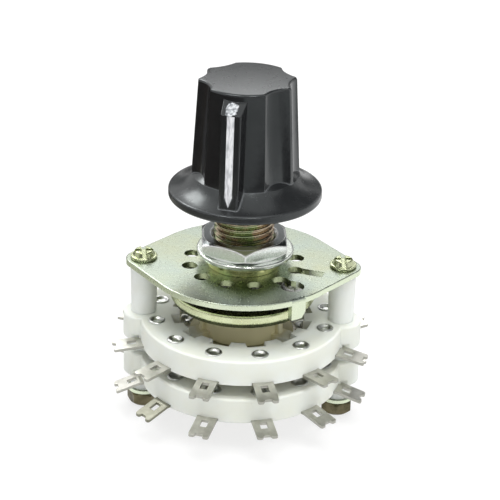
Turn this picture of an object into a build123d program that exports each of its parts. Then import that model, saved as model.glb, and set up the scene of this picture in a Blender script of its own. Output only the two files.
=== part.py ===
from build123d import *
from math import acos, atan2, cos, degrees, hypot, pi, radians, sin, tan
import os

# Rotary wafer switch: one pole on each of two decks, eleven positions.
# Millimetres. +Z is the shaft axis, towards the knob. The origin lies on that axis,
# on the face of the bushing's collar, where the panel seats.
# The two ears and tie screws lie along X. Angles are counted from +X towards +Y.

# Indexing: lugs, index holes and contacts share these angles
half_turn = 180.0
lug_count = 12
index_pitch = 2 * half_turn / lug_count
first_lug_angle = index_pitch / 2
lug_angles = [first_lug_angle + index_pitch * number for number in range(lug_count)]
tongue_angle = 255.0
common_angle = tongue_angle - half_turn
knob_set = 4.0
pointer_angle = tongue_angle + knob_set

# Deck size, which the plate, the ties and the contacts follow
stator_radius = 17.2
plate_inset = 1.0
tie_inset = 0.52

# Fits
running_clearance = 0.05
seat_clearance = 0.05
free_clearance = 0.25
contact_clearance = 0.12
root_overlap = 0.5
cut_allowance = 1.0

# Bushing, panel washer and panel nut
thread_radius = 5.0
thread_top = 8.5
thread_chamfer = 0.5
collar_radius = 6.15
collar_height = 2.0
collar_chamfer = 0.25
neck_radius = 5.15
rivet_rim_radius = 6.0
rivet_rim_height = 0.75
panel_washer_radius = 8.1
panel_washer_thickness = 0.85
panel_washer_bore_play = 0.35
panel_washer_shift = 0.25
panel_washer_edge = 0.3
panel_nut_across_flats = 14.0
panel_nut_thickness = 2.5
panel_nut_turn = 35.0
panel_nut_slope = 34.0
nut_thread_chamfer = 0.45

# Turning stop: a dog under the bushing meets a dog on the shaft's shoulder
stop_dog_reach = 5.9
stop_dog_height = 1.5
stop_dog_fixed_span = 25.0
stop_travel = 150.0
stop_gap = 0.5

# Mounting plate
plate_thickness = 1.0
plate_radius = stator_radius - plate_inset
plate_edge = 0.2
tie_offset = stator_radius - tie_inset
ear_radius = 3.0
index_ring_radius = 9.1
index_hole_radius = 1.3
key_slot_angle = 345.0
key_slot_width = 2.0
key_slot_reach = 13.9
keyhole_angle = 315.0
keyhole_radius = 1.95
keyhole_ring_radius = 12.0
keyhole_neck = 2.4
tab_angle = 307.0
tab_width = 2.7
tab_length = 2.6
tab_taper = 0.7
tab_taper_height = 1.05
tab_bend = 0.6

# Shaft, knob insert and drive blade
shaft_radius = 3.0
shaft_top = 23.8
shaft_chamfer = 0.4
shoulder_radius = 4.6
spigot_radius = 3.5
spigot_flat = 2.7
rivet_head_radius = 4.1
rivet_head_height = 0.65
shaft_flat_depth = 0.5
shaft_flat_length = 11.0
clip_groove_depth = 0.5
clip_radius = 4.3
clip_thickness = 0.5
clip_mouth = 3.4
drive_width = 4.6
drive_thickness = 1.6
drive_root = 1.6
drive_tail = 1.1
drive_tip_chamfer = 0.5

# Detent: disc, balls and spring plate
disc_gap = 3.05
disc_margin = 3.2
disc_radius = index_ring_radius + disc_margin
disc_thickness = 1.7
disc_edge = 0.45
ball_radius = 2.27
ball_play = 0.1
ball_angles = [165.0, 345.0]
spring_inset = 0.5
spring_radius = disc_radius - spring_inset
spring_thickness = 0.6
spring_slot_inset = 3.1
spring_slot_radius = index_ring_radius - spring_slot_inset
spring_slot_width = 0.9
spring_slot_span = 110.0

# Tie screws, nuts and spacers
tie_radius = 1.25
tie_bore = 1.45
tie_head_radius = 2.25
tie_head_height = 1.4
tie_rim_height = 0.55
tie_rim_edge = 0.18
tie_crown_radius = 1.85
tie_crown_taper = 0.35
tie_crown_edge = 0.3
tie_recess_width = 0.75
tie_recess_depth = 0.75
tie_recess_length = 3.1
tie_recess_turns = [100.0, 95.0]
tie_nut_across_flats = 5.0
tie_nut_thickness = 2.5
tie_nut_inset = 0.3
tie_nut_slope = 42.0
tie_washer_radius = 2.75
tie_washer_thickness = 0.6
tie_nut_turns = [0.0, 30.0]
spacer_radius = 2.28
spacer_foot_radius = 2.15
upper_spacer_length = 8.8
middle_spacer_length = 2.66
lower_spacer_length = 3.24

# Stators: one moulding, used twice
stator_thickness = 4.3
stator_edge = 0.35
stator_ear_radius = 3.5
land_width = 6.7
land_radius = stator_radius - land_width
notch_width = 3.2
notch_depth = 1.4
notch_reach = land_radius + notch_depth
arm_width = 3.0
arm_drop = 1.2
arm_thickness = 1.3
arm_angles = [90.0, 210.0, 330.0]
hub_collar_radius = 7.0
hub_collar_rise = 2.4
rib_width = 1.0
rib_reach = 0.9
rib_crest = 0.3
rib_rise = 1.9
blade_room_height = 1.45

# Rotors: moulded hub with a silvered blade, which runs inside the land
rotor_flange_thickness = 1.2
rotor_hub_radius = 5.5
rotor_hub_rise = 2.2
rotor_foot_radius = 5.0
blade_land_gap = 0.3
blade_radius = land_radius - blade_land_gap
blade_thickness = 0.4
blade_tongue_length = 1.8
blade_tongue_reach = blade_radius + blade_tongue_length
blade_tongue_width = 2.6
blade_room_play = 0.9
blade_room_radius = blade_tongue_reach + blade_room_play
flange_inset = 1.4
rotor_flange_radius = blade_radius - flange_inset
peg_inset = 2.2
peg_ring_radius = blade_radius - peg_inset
peg_radius = 0.5
peg_head_radius = 0.7
peg_head_height = 0.35
peg_angles = [0.0, 120.0, 240.0]

# Contacts: terminal strips, lower springs and eyelets
strip_thickness = 0.45
strip_level = 0.5
blade_rise = 0.32
strip_width = 3.45
strip_side_play = 0.08
tail_stand_off = 0.5
tail_length = 4.45
tail_room = 1.1
tail_start = stator_radius + tail_stand_off
strip_tip = tail_start + tail_length
jaw_width = 2.4
joggle_run = 0.45
joggle_start = blade_tongue_reach + running_clearance + free_clearance
joggle_end = joggle_start + joggle_run
throw_jaw_gap = 0.35
throw_jaw_reach = blade_radius + throw_jaw_gap
common_jaw_grip = 1.05
common_jaw_reach = blade_radius - common_jaw_grip
wire_hole_inset = 3.25
wire_hole_ring_radius = strip_tip - wire_hole_inset
wire_hole_width = 1.25
wire_hole_length = 1.6
tip_trim = 0.05
tip_corner = 0.35
tip_notch_mouth = 1.6
tip_notch_floor = 1.1
tip_notch_depth = 0.5
spring_strip_thickness = 0.35
spring_strip_width = 2.8
spring_strip_inset = 0.9
spring_strip_tail = stator_radius - spring_strip_inset
eyelet_inset = 2.57
eyelet_ring_radius = stator_radius - eyelet_inset
eyelet_radius = 0.9
eyelet_flange_radius = 1.42
eyelet_flange_height = 0.24
eyelet_foot_height = 0.2
eyelet_lip = 0.2
eyelet_cup_radius = 1.0
eyelet_cup_floor = 0.7
eyelet_cup_depth = 0.5

# Downward bend of each soldering tail, in degrees, lug by lug from 15 degrees on.
# Tails are bent by hand in use, so no two are alike.
upper_tail_angles = [-12, 4, 6, 5, 7, 0, 5, 6, 10, 11, -1, 10]
lower_tail_angles = [-7, 7, 10, 8, 9, -9, 19, 17, 12, 5, 9, 14]

# Knob
knob_bottom = 10.25
knob_rim_height = 1.4
knob_rim_radius = 12.63
knob_rim_edge = 0.4
knob_waist_radius = 8.85
knob_waist_height = 4.0
knob_top = 30.75
knob_crown_radius = 7.9
knob_crown_edge = 0.45
knob_crown_dome = 0.3
skirt_hollow = 0.25
flute_depth = 1.05
flute_land = 0.75
flute_pitch = 40.0
first_flute_angle = 52.0
flute_angles = [first_flute_angle + flute_pitch * number for number in range(3)]
knob_wall = 1.3
knob_hollow_depth = 2.6
body_root = 0.9
knob_hub_cone = 0.3
knob_hollow_lip = 0.3
knob_boss_wall = 0.9
insert_radius = 5.0
insert_inset = 0.4
grub_radius = 1.5
grub_level = 17.5
grub_length = 3.6
grub_socket = 1.5
grub_socket_depth = 1.4
grub_access_play = 0.3
pointer_face_width = 3.1
pointer_root_width = 3.8
pointer_foot_inset = 1.28
pointer_foot_radius = knob_rim_radius - pointer_foot_inset
pointer_lean = 0.7
pointer_head_radius = pointer_foot_radius - pointer_lean
pointer_shoulder_drop = 2.85
pointer_top_drop = 1.35
pointer_head_inset = 0.2
pointer_edge = 0.25
pointer_root_depth = 1.5
line_width = 1.2
line_depth = 0.15
line_tip = 1.7
line_head_drop = 0.15
line_foot_gap = 0.95

# Levels that follow from the sizes above
plate_top = -collar_height
plate_bottom = plate_top - plate_thickness
rim_bottom = plate_bottom - rivet_rim_height
disc_top = plate_bottom - disc_gap
disc_bottom = disc_top - disc_thickness
spring_bottom = disc_bottom - spring_thickness
shaft_bottom = spring_bottom - rivet_head_height
drive_top = disc_top + drive_root
washer_top = panel_washer_thickness
upper_deck_top = plate_bottom - upper_spacer_length
upper_deck_bottom = upper_deck_top - stator_thickness
lower_deck_top = upper_deck_bottom - middle_spacer_length
lower_deck_bottom = lower_deck_top - stator_thickness
tie_washer_top = lower_deck_bottom - lower_spacer_length
tie_nut_top = tie_washer_top - tie_washer_thickness
tie_bottom = tie_nut_top - tie_nut_thickness
shaft_bore_radius = shaft_radius + running_clearance
grub_angle = pointer_angle - half_turn


def polar(radius, angle):
    """The point at a radius and an angle."""
    return (radius * cos(radians(angle)), radius * sin(radians(angle)))


def at(shape, radius, angle):
    """A shape moved out along X, then turned to an angle."""
    return Rot(0, 0, angle) * Pos(radius, 0, 0) * shape


def rod(radius, low, high):
    """A round bar on the axis."""
    return Pos(0, 0, low) * extrude(Circle(radius), high - low)


def tube(outer, inner, low, high):
    """A round tube on the axis."""
    return Pos(0, 0, low) * extrude(Circle(outer) - Circle(inner), high - low)


def slab(x_low, x_high, width, low, high):
    """A block that runs along X, centred on Y."""
    middle = ((x_low + x_high) / 2, 0, (low + high) / 2)
    return Pos(*middle) * Box(x_high - x_low, width, high - low)


def turned(points):
    """A solid of revolution from (radius, height) points."""
    face = make_face(Plane.XZ * Polyline(*points, close=True))
    return revolve(face, Axis.Z)


def side_cut(points, width):
    """A profile of (x, z) points, as thick along Y as the width, centred."""
    face = make_face(Plane.XZ * Polyline(*points, close=True))
    return extrude(face, width / 2, both=True)


def sector(inner, outer, middle, span, low, high):
    """A piece of a ring, between two radii, centred on an angle."""
    start = middle - span / 2
    corner = outer / cos(radians(span / 2))
    wedge = Polyline((0, 0), polar(corner * 1.1, start), polar(corner * 1.1, start + span), close=True)
    ring = Circle(outer) - Circle(inner)
    return Pos(0, 0, low) * extrude(ring & make_face(wedge), high - low)


def hex_nut(across_flats, bore, low, high, turn, slope, inset):
    """A hexagon nut, chamfered on both faces down to a ring inside its flats."""
    flat = across_flats / 2
    corner = flat / cos(pi / 6)
    face = flat - inset
    outer = corner + root_overlap
    drop = (outer - face) * tan(radians(slope))
    blank = Pos(0, 0, low) * extrude(RegularPolygon(flat, 6, major_radius=False), high - low)
    envelope = turned([
        (bore, low),
        (face, low),
        (outer, low + drop),
        (outer, high - drop),
        (face, high),
        (bore, high),
    ])
    return Rot(0, 0, turn) * (blank & envelope)


def make_bushing():
    """Threaded bushing, riveted into the plate, with the fixed stop dog."""
    outline = [
        (shaft_bore_radius, rim_bottom),
        (rivet_rim_radius, rim_bottom),
        (rivet_rim_radius, plate_bottom),
        (neck_radius, plate_bottom),
        (neck_radius, plate_top),
        (collar_radius, plate_top),
        (collar_radius, -collar_chamfer),
        (collar_radius - collar_chamfer, 0),
        (thread_radius, 0),
        (thread_radius, thread_top - thread_chamfer),
        (thread_radius - thread_chamfer, thread_top),
        (shaft_bore_radius, thread_top),
    ]
    dog = sector(shoulder_radius + free_clearance, stop_dog_reach, common_angle, stop_dog_fixed_span,
                 rim_bottom - stop_dog_height, rim_bottom)
    return turned(outline) + dog


def make_panel_washer():
    """Plain washer, lying a little off the axis."""
    bore = thread_radius + panel_washer_bore_play
    middle = (bore + panel_washer_radius) / 2
    ring = tube(panel_washer_radius, bore, 0, panel_washer_thickness)
    rims = ring.edges().filter_by(GeomType.CIRCLE).filter_by(lambda e: e.radius > middle)
    return Pos(panel_washer_shift, 0, 0) * fillet(rims, panel_washer_edge)


def make_panel_nut():
    """Panel nut with countersunk thread ends, a corner to the front."""
    bore = thread_radius + seat_clearance
    top = washer_top + panel_nut_thickness
    nut = hex_nut(panel_nut_across_flats, bore, washer_top, top, panel_nut_turn, panel_nut_slope, 0)
    middle = (bore + panel_nut_across_flats / 2) / 2
    mouths = nut.edges().filter_by(GeomType.CIRCLE).filter_by(lambda e: e.radius < middle)
    return chamfer(mouths, nut_thread_chamfer)


def plate_outline():
    """Round plate drawn out to two ears by straight tangents."""
    lean = acos((plate_radius - ear_radius) / tie_offset)
    shoulder = (plate_radius * cos(lean), plate_radius * sin(lean))
    cheek = (tie_offset + ear_radius * cos(lean), ear_radius * sin(lean))
    corners = [
        shoulder,
        cheek,
        (cheek[0], -cheek[1]),
        (shoulder[0], -shoulder[1]),
        (-shoulder[0], -shoulder[1]),
        (-cheek[0], -cheek[1]),
        (-cheek[0], cheek[1]),
        (-shoulder[0], shoulder[1]),
    ]
    outline = Circle(plate_radius) + make_face(Polyline(*corners, close=True))
    for side in (-1, 1):
        outline += Pos(side * tie_offset, 0) * Circle(ear_radius)
    return outline


def make_mounting_plate():
    """Stamped plate with the index holes and a tab bent down at the rim."""
    blank = plate_outline()
    plate = Pos(0, 0, plate_bottom) * extrude(blank, plate_thickness)
    plate = fillet(plate.faces().sort_by(Axis.Z)[-1].edges(), plate_edge)
    openings = Circle(neck_radius + seat_clearance)
    for angle in lug_angles:
        openings += Pos(*polar(index_ring_radius, angle)) * Circle(index_hole_radius)
    for side in (-1, 1):
        openings += Pos(side * tie_offset, 0) * Circle(tie_bore)
    key_length = key_slot_reach - index_ring_radius
    key_middle = (key_slot_reach + index_ring_radius) / 2
    openings += at(Rectangle(key_length, key_slot_width), key_middle, key_slot_angle)
    neck_length = keyhole_ring_radius - index_ring_radius
    neck_middle = (keyhole_ring_radius + index_ring_radius) / 2
    openings += at(Rectangle(neck_length, keyhole_neck), neck_middle, keyhole_angle)
    openings += Pos(*polar(keyhole_ring_radius, keyhole_angle)) * Circle(keyhole_radius)
    plate -= Pos(0, 0, plate_bottom) * extrude(openings, plate_thickness)
    foot = plate_bottom - tab_length
    half = tab_width / 2
    face = Polyline(
        (-half, plate_top),
        (-half, foot),
        (half - tab_taper, foot),
        (half, foot + tab_taper_height),
        (half, plate_top),
        close=True,
    )
    tab = extrude(make_face(Plane.YZ * face), plate_thickness)
    tab = fillet(tab.edges().filter_by(Axis.Y).sort_by(Axis.Z)[-2:].sort_by(Axis.X)[-1], tab_bend)
    corner = slab(plate_radius - tab_bend, plate_radius + plate_thickness, tab_width,
                  plate_top - tab_bend, plate_top)
    plate -= Rot(0, 0, tab_angle) * corner
    return plate + at(tab, plate_radius - plate_thickness, tab_angle)


def spigot_section(extra):
    """Double-flat section that keys the disc and its spring to the shaft."""
    flat = spigot_flat + extra
    return Circle(spigot_radius + extra) & Rectangle(4 * spigot_radius, 2 * flat)


def drive_section(extra):
    """Section of the flat drive blade, in line with the rotor blades' tongues."""
    return Rot(0, 0, tongue_angle) * Rectangle(drive_width + 2 * extra, drive_thickness + 2 * extra)


def make_shaft():
    """Steel shaft with shoulder, stop dog, riveted spigot, clip groove and knob flat."""
    shoulder_top = rim_bottom - free_clearance
    shaft = rod(shaft_radius, shoulder_top, shaft_top)
    shaft = chamfer(shaft.edges().filter_by(GeomType.CIRCLE).sort_by(Axis.Z)[-1], shaft_chamfer)
    shaft += rod(shoulder_radius, disc_top, shoulder_top)
    shaft += Pos(0, 0, spring_bottom) * extrude(spigot_section(0), disc_top - spring_bottom)
    shaft += rod(rivet_head_radius, shaft_bottom, spring_bottom)
    moving_span = 2 * (half_turn - stop_travel - stop_gap) - stop_dog_fixed_span
    shaft += sector(shaft_radius, stop_dog_reach, tongue_angle, moving_span,
                    rim_bottom - stop_dog_height, shoulder_top)
    groove_low = thread_top + free_clearance
    groove = tube(2 * shaft_radius, shaft_radius - clip_groove_depth, groove_low,
                  groove_low + clip_thickness + seat_clearance)
    flat = slab(shaft_radius - shaft_flat_depth, 2 * shaft_radius, 3 * shaft_radius,
                shaft_top - shaft_flat_length, shaft_top)
    slot_low = shaft_bottom - drive_tail
    slot = Pos(0, 0, slot_low) * extrude(drive_section(seat_clearance / 2), drive_top - slot_low)
    return shaft - groove - Rot(0, 0, grub_angle) * flat - slot


def make_drive_blade():
    """Flat steel blade that turns both rotors, its lower end chamfered."""
    low = lower_deck_bottom - drive_tail
    blade = Pos(0, 0, low) * extrude(drive_section(0), drive_top - low)
    tip = blade.faces().sort_by(Axis.Z)[0].edges()
    return chamfer(tip, drive_tip_chamfer)


def make_shaft_clip():
    """Retaining clip in the shaft's groove, just above the bushing."""
    low = thread_top + free_clearance
    ring = tube(clip_radius, shaft_radius - clip_groove_depth + seat_clearance, low, low + clip_thickness)
    mouth = slab(0, 2 * clip_radius, clip_mouth, low, low + clip_thickness)
    return ring - Rot(0, 0, tongue_angle) * mouth


def make_detent_disc():
    """Thick disc that carries the balls under the index holes."""
    disc = rod(disc_radius, disc_bottom, disc_top)
    disc = fillet(disc.edges().filter_by(GeomType.CIRCLE), disc_edge)
    openings = spigot_section(seat_clearance)
    for angle in ball_angles:
        openings += Pos(*polar(index_ring_radius, angle)) * Circle(ball_radius + ball_play)
    return disc - Pos(0, 0, disc_bottom) * extrude(openings, disc_thickness)


def make_detent_spring():
    """Spring plate, slotted so that it yields under each ball."""
    sheet = rod(spring_radius, spring_bottom, disc_bottom)
    sheet -= Pos(0, 0, spring_bottom) * extrude(spigot_section(seat_clearance), spring_thickness)
    for angle in ball_angles:
        sheet -= sector(spring_slot_radius, spring_slot_radius + spring_slot_width, angle, spring_slot_span,
                        spring_bottom, disc_bottom)
    return sheet


def make_detent_balls():
    """Two steel balls, held between the spring plate and the index holes."""
    level = plate_bottom - seat_clearance - ball_radius
    return Compound(children=[
        Pos(*polar(index_ring_radius, angle), level) * Sphere(ball_radius) for angle in ball_angles
    ])


def make_spacer(low, high, foot_radius):
    """Moulded spacer tube round a tie screw, drawn in a little at one end."""
    return turned([
        (tie_bore, low),
        (foot_radius, low),
        (spacer_radius, high),
        (tie_bore, high),
    ])


def make_tie_screw(recess_turn):
    """Tie screw: rounded rim, raised crown and a slotted cross recess."""
    head_top = plate_top + tie_head_height
    rim_top = plate_top + tie_rim_height
    rim = rod(tie_head_radius, plate_top, rim_top)
    rim = fillet(rim.edges().filter_by(GeomType.CIRCLE), tie_rim_edge)
    crown = turned([
        (0, plate_top + tie_rim_edge),
        (tie_crown_radius, plate_top + tie_rim_edge),
        (tie_crown_radius, rim_top),
        (tie_crown_radius - tie_crown_taper, head_top),
        (0, head_top),
    ])
    crown = fillet(crown.edges().filter_by(GeomType.CIRCLE).sort_by(Axis.Z)[-1], tie_crown_edge)
    floor = head_top - tie_recess_depth
    slot = slab(-tie_head_radius, tie_head_radius, tie_recess_width, floor, head_top)
    cross = slab(-tie_recess_length / 2, tie_recess_length / 2, tie_recess_width, floor, head_top)
    shank = rod(tie_radius, tie_bottom, plate_top)
    recess = Rot(0, 0, recess_turn) * slot + Rot(0, 0, recess_turn + 90) * cross
    return shank + (rim + crown - recess)


def make_tie_nut(turn):
    """Hexagon nut that closes the stack, flush with the screw's end."""
    bore = tie_radius + seat_clearance
    return hex_nut(tie_nut_across_flats, bore, tie_bottom, tie_nut_top, turn, tie_nut_slope, tie_nut_inset)


def make_tie_washer():
    """Plain washer under the stack."""
    return tube(tie_washer_radius, tie_bore, tie_nut_top, tie_washer_top)


def make_stator(top):
    """Moulded contact ring with ears, arms, rotor collar and terminal channels."""
    bottom = top - stator_thickness
    outline = Circle(stator_radius)
    for side in (-1, 1):
        outline += Pos(side * tie_offset, 0) * Circle(stator_ear_radius)
    ring = Pos(0, 0, bottom) * extrude(outline, stator_thickness)
    ring = fillet(ring.faces().sort_by(Axis.Z)[-1].edges(), stator_edge)
    openings = Circle(land_radius)
    rivet_holes = Sketch()
    for angle in lug_angles:
        openings += at(Rectangle(2 * (notch_reach - land_radius), notch_width), land_radius, angle)
        rivet_holes += Pos(*polar(eyelet_ring_radius, angle)) * Circle(eyelet_radius + seat_clearance)
    for side in (-1, 1):
        rivet_holes += Pos(side * tie_offset, 0) * Circle(tie_bore)
    ring -= Pos(0, 0, bottom) * extrude(openings + rivet_holes, stator_thickness)
    ring -= rod(blade_room_radius, bottom, bottom + blade_room_height)
    arm_top = top - arm_drop
    arm_bottom = arm_top - arm_thickness
    for angle in arm_angles:
        rib_root = hub_collar_radius - root_overlap
        arm = slab(rib_root, land_radius + root_overlap, arm_width, arm_bottom, arm_top)
        rib = side_cut([
            (rib_root, arm_top),
            (hub_collar_radius + rib_reach, arm_top),
            (hub_collar_radius + rib_crest, top + rib_rise),
            (rib_root, top + rib_rise),
        ], rib_width)
        ring += Rot(0, 0, angle) * (arm + rib)
    ring += tube(hub_collar_radius, rotor_hub_radius, arm_bottom, top + hub_collar_rise)
    ring -= rod(rotor_hub_radius, arm_bottom, top + hub_collar_rise)
    for angle in lug_angles:
        channel = slab(joggle_start, stator_radius + cut_allowance, strip_width + 2 * strip_side_play,
                       bottom, bottom + strip_level)
        mouth = slab(tail_start - free_clearance, strip_tip + cut_allowance,
                     strip_width + 2 * strip_side_play, bottom, bottom + tail_room)
        ring -= Rot(0, 0, angle) * (channel + mouth)
    return ring


def strip_side(top_line, thickness):
    """Side profile of a folded strip: its top line, and the same line a thickness below."""
    under = []
    count = len(top_line)
    for number, (x, z) in enumerate(top_line):
        before = top_line[max(number - 1, 0)]
        after = top_line[min(number + 1, count - 1)]
        turn_in = atan2(z - before[1], x - before[0]) if number > 0 else None
        turn_out = atan2(after[1] - z, after[0] - x) if number < count - 1 else None
        turn_in = turn_out if turn_in is None else turn_in
        turn_out = turn_in if turn_out is None else turn_out
        middle = (turn_in + turn_out) / 2
        reach = thickness / cos((turn_out - turn_in) / 2)
        under.append((x + reach * sin(middle), z - reach * cos(middle)))
    return top_line + under[::-1]


def make_terminal(bottom, bend, jaw_reach):
    """Contact strip: upper jaw leaf, joggle, riveted flat and bent soldering tail."""
    level = bottom + strip_level
    leaf_level = blade_top(bottom) + contact_clearance + strip_thickness
    tail = strip_tip - tail_start
    tip = (tail_start + tail * cos(radians(bend)), level - tail * sin(radians(bend)))
    side = strip_side([
        (jaw_reach, leaf_level),
        (joggle_start, leaf_level),
        (joggle_end, level),
        (tail_start, level),
        tip,
    ], strip_thickness)
    mouth = tip[0] - strip_thickness * abs(sin(radians(bend))) - tip_trim
    floor = mouth - tip_notch_depth
    plan = Pos((joggle_end + mouth) / 2, 0) * Rectangle(mouth - joggle_end, strip_width)
    plan -= make_face(Polyline((floor, -tip_notch_floor / 2), (mouth, -tip_notch_mouth / 2),
                               (mouth, tip_notch_mouth / 2), (floor, tip_notch_floor / 2), close=True))
    plan = fillet(plan.vertices().filter_by(lambda v: v.X > floor + tip_trim), tip_corner)
    plan += Pos((jaw_reach + joggle_end) / 2, 0) * Rectangle(joggle_end - jaw_reach, jaw_width)
    plan -= Pos(wire_hole_ring_radius, 0) * Rectangle(wire_hole_length, wire_hole_width)
    plan -= Pos(eyelet_ring_radius, 0) * Circle(eyelet_radius + seat_clearance)
    return side_cut(side, strip_width + cut_allowance) & extrude(plan, strip_tip + abs(bottom), both=True)


def make_contact_spring(bottom, jaw_reach):
    """Lower jaw leaf, riveted under its terminal."""
    level = bottom + strip_level - strip_thickness
    leaf_level = blade_top(bottom) - blade_thickness - contact_clearance
    side = strip_side([
        (jaw_reach, leaf_level),
        (joggle_start, leaf_level),
        (joggle_end, level),
        (spring_strip_tail, level),
    ], spring_strip_thickness)
    plan = Pos((joggle_end + spring_strip_tail) / 2, 0)
    plan = plan * Rectangle(spring_strip_tail - joggle_end, spring_strip_width)
    plan += Pos((jaw_reach + joggle_end) / 2, 0) * Rectangle(joggle_end - jaw_reach, jaw_width)
    plan -= Pos(eyelet_ring_radius, 0) * Circle(eyelet_radius + seat_clearance)
    return side_cut(side, strip_width) & extrude(plan, strip_tip + abs(bottom), both=True)


def make_eyelet(top):
    """Tin-plated eyelet, cupped at its head, that rivets a terminal and its spring to the stator."""
    foot = top - stator_thickness + strip_level - strip_thickness - spring_strip_thickness
    crest = top + eyelet_flange_height
    return turned([
        (0, foot - eyelet_foot_height),
        (eyelet_flange_radius, foot - eyelet_foot_height),
        (eyelet_flange_radius, foot),
        (eyelet_radius, foot),
        (eyelet_radius, top),
        (eyelet_flange_radius, top),
        (eyelet_flange_radius - eyelet_lip, crest),
        (eyelet_cup_radius, crest),
        (eyelet_cup_floor, crest - eyelet_cup_depth),
        (0, crest - eyelet_cup_depth),
    ])


def blade_top(bottom):
    """Upper face of the rotor blade, midway in the jaws."""
    return bottom + strip_level - strip_thickness + blade_rise


def make_rotor(top):
    """Moulded rotor: hub in the collar, flange over the blade, staked pegs."""
    bottom = top - stator_thickness
    level = blade_top(bottom)
    rotor = rod(rotor_hub_radius - running_clearance, level, top + rotor_hub_rise)
    rotor += rod(rotor_flange_radius, level, level + rotor_flange_thickness)
    rotor += rod(rotor_foot_radius, level - blade_thickness, level)
    for angle in peg_angles:
        peg = rod(peg_radius, level - blade_thickness, level)
        head = rod(peg_head_radius, level - blade_thickness - peg_head_height, level - blade_thickness)
        rotor += at(peg + head, peg_ring_radius, angle)
    slot = drive_section(seat_clearance)
    return rotor - Pos(0, 0, level - blade_thickness) * extrude(slot, stator_thickness + 2 * rotor_hub_rise)


def make_rotor_blade(top):
    """Silvered ring with one tongue."""
    level = blade_top(top - stator_thickness)
    plan = Circle(blade_radius)
    plan += at(Rectangle(blade_tongue_reach, blade_tongue_width), blade_tongue_reach / 2, tongue_angle)
    plan -= Circle(rotor_foot_radius + seat_clearance)
    for angle in peg_angles:
        plan -= Pos(*polar(peg_ring_radius, angle)) * Circle(peg_radius + seat_clearance)
    return Pos(0, 0, level - blade_thickness) * extrude(plan, blade_thickness)


def knob_radius(height):
    """Radius of the knob's conical body at a height."""
    waist = knob_bottom + knob_waist_height
    share = (height - waist) / (knob_top - waist)
    return knob_waist_radius + share * (knob_crown_radius - knob_waist_radius)


def fluted_section(height):
    """Cross-section of the knob's body, fluted each side of the pointer, plain at the back."""
    scale = knob_radius(height) / knob_waist_radius
    half_span = flute_pitch / 2 - degrees(flute_land / 2 / knob_waist_radius)
    half_chord = knob_waist_radius * sin(radians(half_span))
    dip = flute_depth - knob_waist_radius * (1 - cos(radians(half_span)))
    flute_radius = (half_chord ** 2 + dip ** 2) / 2 / dip
    centre = knob_waist_radius - flute_depth + flute_radius
    section = Circle(knob_waist_radius * scale)
    for angle in flute_angles:
        for side in (-1, 1):
            place = Pos(*polar(centre * scale, pointer_angle + side * angle))
            section -= place * Circle(flute_radius * scale)
    return Pos(0, 0, height) * section


def pointer_face_radius(height):
    """Radius of the pointer rib's front face at a height."""
    foot = knob_bottom + knob_rim_height
    head = knob_top - pointer_shoulder_drop
    share = (height - foot) / (head - foot)
    return pointer_foot_radius + share * (pointer_head_radius - pointer_foot_radius)


def make_pointer():
    """Pointer rib with drafted sides and a sloping head, before it is turned."""
    root = knob_crown_radius - pointer_root_depth
    foot = knob_bottom + knob_rim_height
    head = knob_top - pointer_shoulder_drop
    side = side_cut([
        (root, foot),
        (pointer_face_radius(foot), foot),
        (pointer_face_radius(head), head),
        (knob_crown_radius - pointer_head_inset, knob_top - pointer_top_drop),
        (root, knob_top - pointer_top_drop),
    ], 2 * pointer_root_width)
    front = pointer_foot_radius
    back = knob_radius(knob_top)
    draft = (pointer_root_width - pointer_face_width) / 2 / (front - back)
    root_half = pointer_root_width / 2 + draft * (back - root)
    plan = make_face(Polyline((root, -root_half), (front, -pointer_face_width / 2),
                              (front, pointer_face_width / 2), (root, root_half), close=True))
    rib = side & (Pos(0, 0, foot) * extrude(plan, knob_top - foot))
    front_edges = rib.faces().sort_by(Axis.X)[-1].edges()
    return fillet(front_edges.filter_by(lambda e: abs(e.tangent_at(0.5).Z) > 0.9), pointer_edge)


def make_pointer_line(depth):
    """Paint in the shallow groove of the pointer: a stripe that ends in a point."""
    foot = knob_bottom + knob_rim_height
    head = knob_top - pointer_shoulder_drop - line_head_drop
    low = foot + line_foot_gap
    half = line_width / 2
    face = make_face(Polyline((0, low), (half, low + line_tip), (half, head), (-half, head),
                              (-half, low + line_tip), close=True))
    front = pointer_face_radius
    body = extrude(Plane.YZ * face, 2 * pointer_foot_radius)
    skin = side_cut([
        (front(low) - depth, low),
        (front(low), low),
        (front(head), head),
        (front(head) - depth, head),
    ], 2 * line_width)
    return Rot(0, 0, pointer_angle) * (body & skin)


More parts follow.
